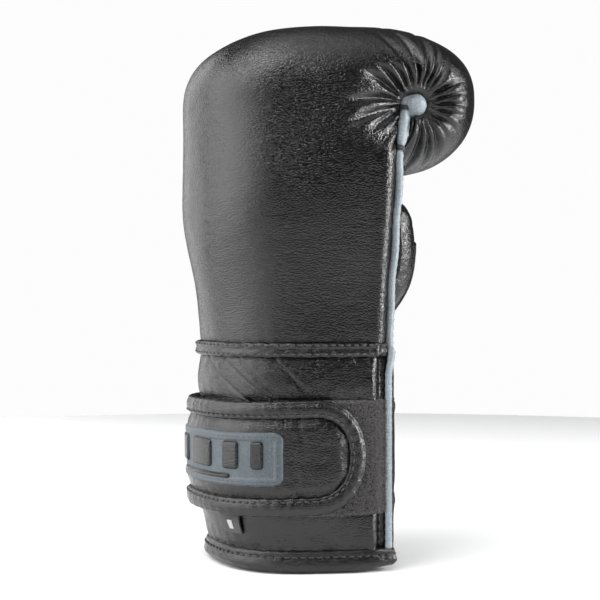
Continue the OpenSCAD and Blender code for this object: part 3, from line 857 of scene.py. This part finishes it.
def strap_piece(label, i, joint_s, replaced):
    s0, s1 = CUTS[i], CUTS[i + 1]
    tip = i == 0
    # cover: a padded field inside the binding
    ins = bind_w - 0.8
    start = s0 + ins if tip else s0
    t = np.linspace(0, 1, int(170 * HI))
    s = (start + (s1 - start) * (t ** 1.7 if tip else t))[:, None]
    q = np.sin(np.linspace(-1, 1, int(70 * HI)) * np.pi / 2)[None, :]
    h = strap_half(s, ins) if tip else half - ins + 0 * s
    z = mid_z + rise(s) + q * h
    near = np.minimum(h * (1 - np.abs(q)), (s - s0 - ins + 0.01) if tip else 1e3)
    n = (strap_in + 2.6 + 2.0 * smooth(near / 7.0) ** 0.7) * thin(s)
    lean_ = 0.12 * (z - mid_z) * np.sin((z - mid_z) * 0.11)
    n = n - 0.4 * bump(s + lean_, joint_s - 2.0, 1.5) - 0.28 * bump(s - lean_, joint_s - 6.5, 1.2)
    B = wrap(s, z, n)
    n = (n + 0.22 * noise(B, (9, 9, 6), 70 + i) + 0.12 * noise(B, (4, 4, 3), 75 + i)
        + puckers(s, near, 6.0, 3.0, 0.25, 78 + i))
    cover = shell(f"strap_{label}_padded_field", s, z, n, (strap_in + 0.5 + 0 * n) * thin(s), BLACK)
    # binding: a rolled edge that runs round the tip
    ins = bind_w / 2
    runs = edge_runs(s0, s1, ins, tip, 130, int(420 * HI), int(150 * HI))
    made = []
    for run in runs:
        flat = thin(run[:, 0])
        base = wrap(run[:, 0], run[:, 1], (strap_in + 2.5) * flat)
        o = out_of(run[:, 0])
        tan = np.gradient(base, axis=0)
        tan /= np.linalg.norm(tan, axis=1, keepdims=True)
        side = np.cross(o, tan)
        cut = outline(ins + 0.2, 2.5, 3.0, 30)
        cut[:, 1] -= 0.35 * smooth((np.abs(cut[:, 0]) - 1.5) / 3.0) * (cut[:, 1] > 0)
        wob = 1 + 0.03 * np.sin(np.arange(len(run))[:, None] * 0.55 + 0.3 * np.cos(np.arange(30)))
        crimp = 1 - 0.10 * bump(run[:, 0], joint_s + 1.5, 1.2)[:, None]
        out_h = (cut[:, 1] * wob * crimp * flat[:, None]
            - 0.45 * bump(np.abs(cut[:, 0]), 2.5, 0.6) * (cut[:, 1] > 0))
        rings = (base[:, None, :] + (cut[:, 0] * wob)[..., None] * side[:, None, :]
            + out_h[..., None] * o[:, None, :])
        made.append(rings)
    name = f"strap_{label}_bound_edge"
    if len(made) == 1:
        bind = loft(name, made[0], BLACK_TRIM)
    else:
        parts = [loft(name + str(k), m_, BLACK_TRIM) for k, m_ in enumerate(made)]
        bpy.ops.object.select_all(action="DESELECT")
        for p_ in parts:
            p_.select_set(True)
        bpy.context.view_layer.objects.active = parts[0]
        bpy.ops.object.join()
        bind = parts[0]
        bind.name = name
    # stitches along the binding's inner edge
    ins = bind_w - 1.5
    rows = edge_runs(s0, s1, ins, tip, 200, 500, 300)
    sts = []
    for r_i, row in enumerate(rows):
        st = stitches(f"strap_{label}_stitching_{r_i + 1}",
            wrap(row[:, 0], row[:, 1], (strap_in + 4.75) * thin(row[:, 0]) + 0.15), out_of(row[:, 0]),
            THREAD, 2.3, 1.3, 0.45)
        sts.append(st)
    p = wrap(np.array([joint_s - 5.0]), mid_z, 4.0)[0] * MM
    e = wrap(np.array([joint_s + 5.0]), mid_z, 4.0)[0] * MM
    for ob in [cover, bind] + sts:
        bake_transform(ob)
    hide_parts(*replaced[0])
    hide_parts(*replaced[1])


strap_piece("tip", 0, CREASE["tip"],
    (("strap_tip_cover",), ("strap_tip_binding",)))
strap_piece("back", 1, CREASE["back"],
    (("strap_back_cover",), ("strap_back_binding",)))
strap_piece("side", 2, CREASE["side"],
    (("strap_side_cover",), ("strap_side_binding",)))
strap_piece("palm", 3, CREASE["palm"],
    (("strap_palm_cover", "strap_root_tab"), ("strap_palm_binding",)))


def flat_patch(name, s0, s1, zc, h, n_of, n_under, mat, corner, ns, nq):
    s = np.linspace(s0, s1, ns)
    d = np.minimum(s - s0, s1 - s)
    hh = np.where(d < corner, h - corner
        + np.sqrt(np.maximum(0.02, corner ** 2 - (corner - np.minimum(d, corner)) ** 2)), h)[:, None]
    s = s[:, None]
    q = np.linspace(-1, 1, nq)[None, :]
    z = zc + rise(s) + q * hh
    near = np.minimum(hh * (1 - np.abs(q)), np.minimum(s - s0, s1 - s))
    return shell(name, s, z, n_of(s, z, near), n_under + 0 * z, mat)


# strap foams and hook tape stay inside the padded fields
for nm, node, s0, s1, hgt, n0, n1, mat, body_name, sl in (
        ("strap_back_foam_pad", "strap_back_foam", s_at(48), s_at(126), half - 11, strap_in + 3.4, strap_in
        + 1.0, FOAM, "strap_back", "foam"),
        ("strap_tip_foam_pad", "strap_tip_foam", S_TIP + 14, s_at(34), 12.0, strap_in + 3.4, strap_in + 1.0,
        FOAM, "strap_tip", "foam"),
        ("strap_hook_tape_patch", "strap_hook_tape", S_TIP + 6, s_at(34), 17.0, strap_in + 0.6, strap_in
        + 0.05, HOOK, "strap_tip", "hook_tape")):
    ob = flat_patch(nm, s0, s1, mid_z, hgt, lambda s, z, near: n0 + 0 * z, n1, mat, 5.0, 60, 24)
    place(ob, sl, body_name, node, fill=float(mat == FOAM))

# badge: plain, with a border ridge, five bars and a line
b0, b1 = CREASE["tip"] + 2.0, s_at(127)
badge_n = (lambda s, z, near: strap_out - 0.9 + 1.5 * smooth(near / 1.3) - 0.5 * smooth((near - 3.6) / 0.8)
    + 0.1 * noise(wrap(s, z, 0), 6, 91))
badge = flat_patch("strap_badge_plate", b0, b1, mid_z, 12.9, badge_n, strap_in + 3.0, BADGE, 5.0,
    int(220 * HI), int(60 * HI))
place(badge, "blue_grey_leather", "strap_back", "strap_badge")
for k, (c, w, zo, h) in enumerate(((0.13, 2.6, 1.8, 6.4), (0.27, 4.0, 1.8, 6.4), (0.5, 9.0, 1.8, 6.4),
        (0.73, 4.0, 1.8, 6.4),
                                   (0.87, 2.6, 1.8, 6.4), (0.5, 20.0, -8.0, 1.1))):
    sc = b0 + c * (b1 - b0)
    ob = flat_patch(f"badge_bar_{k + 1}", sc - w, sc + w, mid_z + zo, h, lambda s, z, near: strap_out + 0.5
        + 0.8 * smooth(near / 0.8), strap_out,
                    BLACK_TRIM, min(1.5, h), 40, 24)
    place(ob, "black_leather", "strap_back")
row = np.linspace(b0 + 2.6, b1 - 2.6, 200)
for sg in (-1, 1):
    thread_row("badge_stitching_" + ("low" if sg < 0 else "high"),
        wrap(row, mid_z + rise(row) + sg * 10.4, strap_out + 0.5), out_of(row), "strap_back", 2.0, 1.0, 0.28)
for kk, sc in enumerate((b0 + 2.6, b1 - 2.6)):
    zz = np.linspace(-9.2, 9.2, 60) + mid_z + float(rise(np.array(sc)))
    thread_row(f"badge_stitching_end_{kk + 1}", wrap(np.full(60, sc), zz, strap_out + 0.55),
        out_of(np.full(60, sc)), "strap_back", 2.0, 1.0, 0.28)

# size tag: a folded woven label with a plain white bar
ts = s_at(72)
s = np.linspace(ts - 6.2, ts + 6.2, 40)[:, None]
z = np.linspace(strap_z - 10.5, strap_z + 1.0, 40)[None, :]
n = 1.6 + 0.9 * np.sin(np.pi * np.clip((z - strap_z + 10.5) / 11, 0, 1)) + 0.25 * np.sin(s * 0.6 + z * 0.3)
tag = shell("size_tag_label", s, z, n, n - 0.9, TAG)
place(tag, "woven_tag", "glove", "size_tag")
s = np.linspace(ts - 1.3, ts + 1.3, 8)[:, None]
z = np.linspace(strap_z - 8.6, strap_z - 4.2, 20)[None, :]
n = 1.75 + 0.9 * np.sin(np.pi * np.clip((z - strap_z + 10.5) / 11, 0, 1)) + 0.25 * np.sin(s * 0.6 + z * 0.3)
mark = shell("size_tag_bar", s, z, n, n - 0.3, WHITE)
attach(mark, "glove")

# ---- piping, tacks
def piping_base(z, side):
    L = lean(z)
    w = half_width(z)
    edge = mix(w - 4, bar_w, L)
    rest = mix(0.01, eye_r, L)
    f0 = rest / 77
    draw = np.maximum(0, 1 - f0 / mix(0.16, 0.5, L)) ** 2
    y = w - (w - edge) * draw
    return np.stack([mix(PX, roll_x, L) - rest + 0.3, side * (y + 0.4), z], 1)


for side, label, node in ((-1, "little_finger", "little_finger_piping"), (1, "thumb", "thumb_side_piping")):
    z = np.linspace(cuff_h, roll_z + 0.5, int(220 * HI))
    hand_path = piping_base(z, side)
    z2 = np.linspace(rim_h - 2, cuff_h - 1, int(120 * HI))
    k2 = smooth((z2 - 92) / 13)
    low = np.stack([mix(PX - 1.3, PX - 0.2, k2), side * (cuff_w - 1.0 + 0.7 * k2), z2], 1)
    path = np.concatenate([low, hand_path])
    zz = path[:, 2]
    path[:, 0] += 0.35 * np.sin(zz * 0.21 + 1) * smooth((zz - 110) / 20) + 1.6 * smooth((zz - bend_z) / 30)
    path[:, 1] -= side * 5.0 * smooth((zz - roll_z + 6) / 7) ** 2
    path = even(path, int(380 * HI))
    zz = path[:, 2]
    flat = 1 - smooth((zz - 90) / 16)
    half_w = 1.9 + 0.2 * flat + 1.7 * bump(zz, (bend_z + 9 + roll_z - 5) / 2 + 1, 7.5)
    for tz in (bend_z + 9, roll_z - 5):
        half_w = half_w * (1 - 0.42 * bump(zz, tz, 1.6))
    th = np.linspace(0, 2 * np.pi, 30, endpoint=False)

    def cut(u, hw=half_w, zs=zz, fl=flat):
        w_ = float(np.interp(u, np.linspace(0, 1, len(hw)), hw))
        zv = float(np.interp(u, np.linspace(0, 1, len(hw)), zs))
        r = 1 - 0.34 * bump(np.cos(th), 0, 0.28) * (np.sin(th) > 0)
        wr = 1 + 0.05 * math.sin(zv * 1.7) + 0.04 * math.sin(zv * 3.9 + 1)
        low_ = float(np.interp(u, np.linspace(0, 1, len(fl)), fl))
        r = mix(r, 1, low_)
        return np.stack([w_ * 1.05 * r * np.cos(th) * wr,
            mix(0.5 * w_ + 0.95, 1.1, low_) * r * np.sin(th) * wr], 1)
    ob = sweep(f"{label}_edge_piping", path, cut, BLUE,
        up=np.stack([mix(0.62, 0.08, flat), side * mix(0.78, 1.0, flat), 0 * flat], 1))
    place(ob, "blue_grey_leather", "glove", node, fill=1.0)
    for ti, tz in enumerate((bend_z + 9, roll_z - 5)):
        i0 = int(np.argmin(np.abs(zz - tz)))
        c = path[i0]
        tdir = path[i0 + 2] - path[i0 - 2]
        tdir /= np.linalg.norm(tdir)
        o = np.array([0.62, side * 0.78, 0])
        w = np.cross(o, tdir)
        w /= np.linalg.norm(w)
        a = np.linspace(0, 2 * np.pi * 4, 100)
        coil = (c + np.outer(np.cos(a) * 2.25, w) + np.outer(np.sin(a) * 2.1, np.cross(tdir, w))
            + np.outer(np.linspace(-1.1, 1.1, 100), tdir))
        tk = sweep(f"{label}_piping_tack_{ti + 1}", coil, lambda u: outline(0.33, 0.33, 2, 8), THREAD,
            up=tdir)
        if side < 0 and ti == 0:
            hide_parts("piping_tacks")
        place(tk, "thread", "glove")

# ---- thumb
tp = np.array([[PX + 12, 37, 120], [PX + 22, 36.5, 124], [PX + 31, 34, 131.5], [PX + 37, 30, 143],
    [PX + 38, 26, 157], [PX + 37, 23, 169]], float)
tp = np.concatenate([[[PX + 0.6, 36.5, 120]], tp])
tr = np.array([12.9, 13.6, 16.0, 17.0, 17.0, 16.3, 14.6])
tp_par = np.arange(7.0)
fine_t = np.linspace(0, 6, 300)


def catmull(t):
    i = np.clip(np.floor(t).astype(int), 0, 5)
    u = (t - i)[:, None]
    a, b, c, d = (tp[np.clip(i + o, 0, 6)] for o in (-1, 0, 1, 2))
    return (0.5 * (2 * b + (c - a) * u + (2 * a - 5 * b + 4 * c - d) * u ** 2
        + (3 * b - a - 3 * c + d) * u ** 3))


axis, radius = catmull(fine_t), np.interp(fine_t, tp_par, tr)
axis, radius = even(axis, 300, radius)


def thumb_grid(n, m, inset=0.0, start=0.0):
    """Rings round the thumb, its domed end included."""
    d_all = np.r_[0, np.cumsum(np.linalg.norm(np.diff(axis, axis=0), axis=1))]
    body_n = int(n * 0.8)
    rows = []
    th = np.linspace(0, 2 * np.pi, m, endpoint=False)
    end_r = tr[-1] - inset
    spots = ([(d, None) for d in np.linspace(start, d_all[-1], body_n)]
        + [(d_all[-1], a) for a in np.linspace(0, np.pi / 2 * 0.985, n - body_n + 1)[1:]])
    for d, a in spots:
        c = np.array([np.interp(d, d_all, axis[:, k]) for k in range(3)])
        t = np.array([np.interp(min(d + 1, d_all[-1]), d_all, axis[:, k])
            - np.interp(max(0, min(d, d_all[-1] - 1)), d_all, axis[:, k]) for k in range(3)])
        t /= np.linalg.norm(t)
        r = np.interp(d, d_all, radius) - inset
        if a is not None:
            c, r = c + t * end_r * math.sin(a), end_r * math.cos(a)
        u_ = np.cross([0, 1, 0], t)
        u_ /= np.linalg.norm(u_)
        v_ = np.cross(t, u_)
        rows.append(c + r * (0.92 * np.cos(th)[:, None] * u_ + 1.04 * np.sin(th)[:, None] * v_))
    return np.array(rows)


T = thumb_grid(int(220 * HI), int(150 * HI))
Tc = thumb_grid(30, 31)
Tc = np.concatenate([Tc, Tc[:, :1]], 1)
pin = np.zeros(Tc.shape[:2])
pin[:2] = pin[-2:] = 1
pin[:, :1] = pin[:, -1:] = 0.6
td = finer(settle(Tc, pin, 0.04, 4.0, 1.6), T.shape[0], T.shape[1] + 1)[:, :-1]
tn = grid_normals(np.concatenate([T, T[:, :1]], 1))[:, :-1]
if (tn[60] * (T[60] - T[60].mean(0))).sum() < 0:
    tn = -tn
th = np.linspace(0, 2 * np.pi, T.shape[1], endpoint=False)[None, :]
rowi = np.linspace(0, 1, T.shape[0])[:, None]
h = 0.35 * noise(T, (12, 12, 8), 101) + 0.16 * noise(T, (5, 5, 4), 102)
for seam in (0.55 * np.pi, 1.45 * np.pi):
    dd = np.abs((th - seam + np.pi) % (2 * np.pi) - np.pi) * 16
    h = (h - 0.9 * np.exp(-((dd / 0.9) ** 2)) + 0.5 * np.exp(-(((dd - 2.2) / 1.3) ** 2))
        + puckers(rowi * 95 + 0 * th, dd, 6.0, 4.0, 0.4, 103))
h = h + 0.8 * np.sin(rowi * 60 + 1.2 * np.sin(th)) * bump(rowi, 0.14, 0.09) * 0.7
T2 = T + tn * h[..., None] + td * smooth(rowi / 0.1)[..., None]
thumb = loft("thumb_leather_shell", T2, BLACK)
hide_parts("thumb_leather")
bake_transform(thumb)
for nm, node, inset, mat, sl in (("thumb_foam_pad", "thumb_foam", 3.0, FOAM, "foam"),
        ("thumb_lining_cloth", "thumb_lining", 8.0, LINING, "lining_fabric")):
    ob = loft(nm, thumb_grid(50, 40, inset, 16.0), mat)
    place(ob, sl, "thumb", node, fill=float(mat == FOAM))
# gusset: a soft collar at the thumb's root
ring = np.linspace(0, 2 * np.pi, 90)[:-1]
path = np.stack([np.full(89, PX + 1.6), 36.5 + 13.2 * np.sin(ring), 120 + 13.2 * np.cos(ring)], 1)
gus = sweep("thumb_root_collar", path,
    lambda u: outline(1.9, 1.7, 2.2, 16) * (1 + 0.05 * math.sin(u * 150)), BLACK_TRIM, up=(1, 0, 0),
    closed=True)
place(gus, "black_leather", "glove", "thumb_root_gusset")
# grip tab: a plain flat strip on the thumb's front
m0 = T.shape[1]
front = int(np.argmax((T[T.shape[0] // 2] - T[T.shape[0] // 2].mean(0)) @ np.array([0.93, -0.37, 0])))
r0, r1 = int(T.shape[0] * 0.34), int(T.shape[0] * 0.70)
cols = [(front + k) % m0 for k in range(-int(m0 * 0.055), int(m0 * 0.055) + 1)]
patch, pn = T[r0:r1][:, cols], tn[r0:r1][:, cols]
tab_ob = slab("thumb_grip_tab_strip", patch + pn * 1.9, patch + pn * 0.3, BLACK_TRIM)
place(tab_ob, "black_leather", "thumb", "thumb_grip_tab")

# ---- seam and rim stitches
sr = np.linspace(s_at(3), s_at(177), 600)
fl = -2.0 * (1 - smooth((edge_distance(sr) - 5) / 4))
for k, dz in enumerate((-1.9, 2.3)):
    thread_row(f"seam_band_stitching_{k + 1}", wrap(sr, cuff_h + dz, 2.2 + fl), out_of(sr), "glove", 2.4,
        1.4, 0.5)
sr = np.linspace(s_at(-88 + slit_a), s_at(268 - slit_a), 900)
thread_row("rim_stitching", wrap(sr, 7.9, 1.25), out_of(sr), "glove", 2.4, 1.4, 0.5)
for k, s_e in enumerate((S0 + 6.6, S180 - 6.6)):
    for j, (za, zb) in enumerate(((rim_h + 1, strap_z - 2), (strap_z + strap_h + 1, cuff_h - 4))):
        zz = np.linspace(za, zb, 50)
        thread_row(f"cuff_flange_stitching_{k + 1}_{j + 1}", wrap(np.full(50, s_e), zz, -1.25),
            out_of(np.full(50, s_e)), "glove", 1.8, 1.1, 0.26)

# carried-over CAD nodes
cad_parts["grip_bar_core"].data.materials.clear()
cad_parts["grip_bar_core"].data.materials.append(FOAM)

# ---- studio
floor_mat = bpy.data.materials.new("pale_floor")
floor_mat.use_nodes = True
fb = floor_mat.node_tree.nodes["Principled BSDF"]
fb.inputs["Base Color"].default_value = (0.92, 0.92, 0.92, 1)
fb.inputs["Roughness"].default_value = 0.9
view = np.array([math.sin(math.radians(CAMERA_AZ)), -math.cos(math.radians(CAMERA_AZ)), 0.0])
turn = np.linspace(0, 2 * np.pi, 96, endpoint=False)
pts = [(0, 0, -0.15)] + [(FLOOR_R * math.cos(a), FLOOR_R * math.sin(a), -0.15) for a in turn]
floor = build("studio_floor", pts, [[0, k + 1, (k + 1) % 96 + 1] for k in range(96)], floor_mat)


def area(name, az, el, dist, w, h_, power, tint=(1, 1, 1), aim=(0, 0, 0.13)):
    a, e = math.radians(az), math.radians(el)
    loc = Vector((math.sin(a) * math.cos(e), -math.cos(a) * math.cos(e), math.sin(e))) * dist + Vector(aim)
    li = bpy.data.lights.new(name, "AREA")
    li.shape = "RECTANGLE"
    li.size, li.size_y = w, h_
    li.energy = power
    li.color = tint
    ob = bpy.data.objects.new(name, li)
    bpy.context.collection.objects.link(ob)
    ob.location = loc
    ob.rotation_euler = (Vector(aim) - loc).to_track_quat("-Z", "Y").to_euler()
    return ob


area("key_softbox", -103, 14, 0.9, 1.0, 1.2, 14)
area("rim_strip", -160, 10, 0.9, 0.62, 1.0, 3.0)
area("side_strip", 58, 8, 0.9, 0.24, 0.9, 15)
area("fill_softbox", -60, 16, 1.3, 0.6, 1.2, 3.2)
area("grain_light", -14, 36, 1.0, 0.2, 0.2, 1.2)
area("overhead", -50, 82, 2.2, 2.6, 2.6, 26)
area("top_strip", -70, 56, 1.0, 0.6, 0.4, 5)

world = bpy.data.worlds.new("studio")
bpy.context.scene.world = world
world.use_nodes = True
wt = world.node_tree
seen, lit, pick, ray = (wt.nodes.new("ShaderNode" + k)
    for k in ("Background", "Background", "MixShader", "LightPath"))
seen.inputs[0].default_value = (0.98, 0.98, 0.98, 1)
lit.inputs[0].default_value = (0.92, 0.95, 1.0, 1)
lit.inputs[1].default_value = 0.08
wt.links.new(ray.outputs["Is Camera Ray"], pick.inputs[0])
wt.links.new(lit.outputs[0], pick.inputs[1])
wt.links.new(seen.outputs[0], pick.inputs[2])
wt.links.new(pick.outputs[0], wt.nodes["World Output"].inputs[0])
bpy.context.scene.view_settings.view_transform = "Standard"

cam = bpy.data.cameras.new("camera")
cam.lens = CAMERA_LENS
cam.sensor_width = 36
co = bpy.data.objects.new("camera", cam)
bpy.context.collection.objects.link(co)
target = Vector((-0.0104, 0.0048, 0.1285))
co.location = target + Vector(view) * CAMERA_DIST
co.rotation_euler = (-Vector(view)).to_track_quat("-Z", "Y").to_euler()
bpy.context.scene.camera = co
